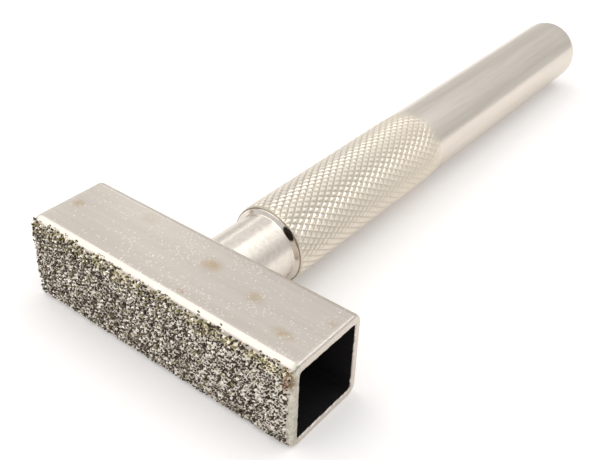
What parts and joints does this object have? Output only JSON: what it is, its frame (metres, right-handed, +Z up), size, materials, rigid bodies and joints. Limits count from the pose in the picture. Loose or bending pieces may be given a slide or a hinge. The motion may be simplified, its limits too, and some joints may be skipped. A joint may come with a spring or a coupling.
{
  "type": "grinding wheel dresser",
  "caption": "T-shaped hand dresser: a short square tube head with a diamond grit face, on a round steel handle with a knurled grip.",
  "frame": {"origin": "middle of the head's underside, the face that the tool lies on", "axes": "+X along the head, towards the end with the bare strip; +Y along the handle, away from the grit face; +Z up, out of the head's top"},
  "size_m": [0.0454, 0.1169, 0.013],
  "materials": {
    "plated_tube": "satin nickel plate with faint drawing lines, dark unplated steel inside the tube",
    "plated_bar": "bright nickel plate on turned and knurled steel",
    "diamond_grit": "coarse diamond crystals, olive to dark, held in bright plated nickel"
  },
  "bodies": {
    "root": {"head_tube": "plated_tube", "handle": "plated_bar", "diamond_coat": "diamond_grit"}
  },
  "joints": []
}
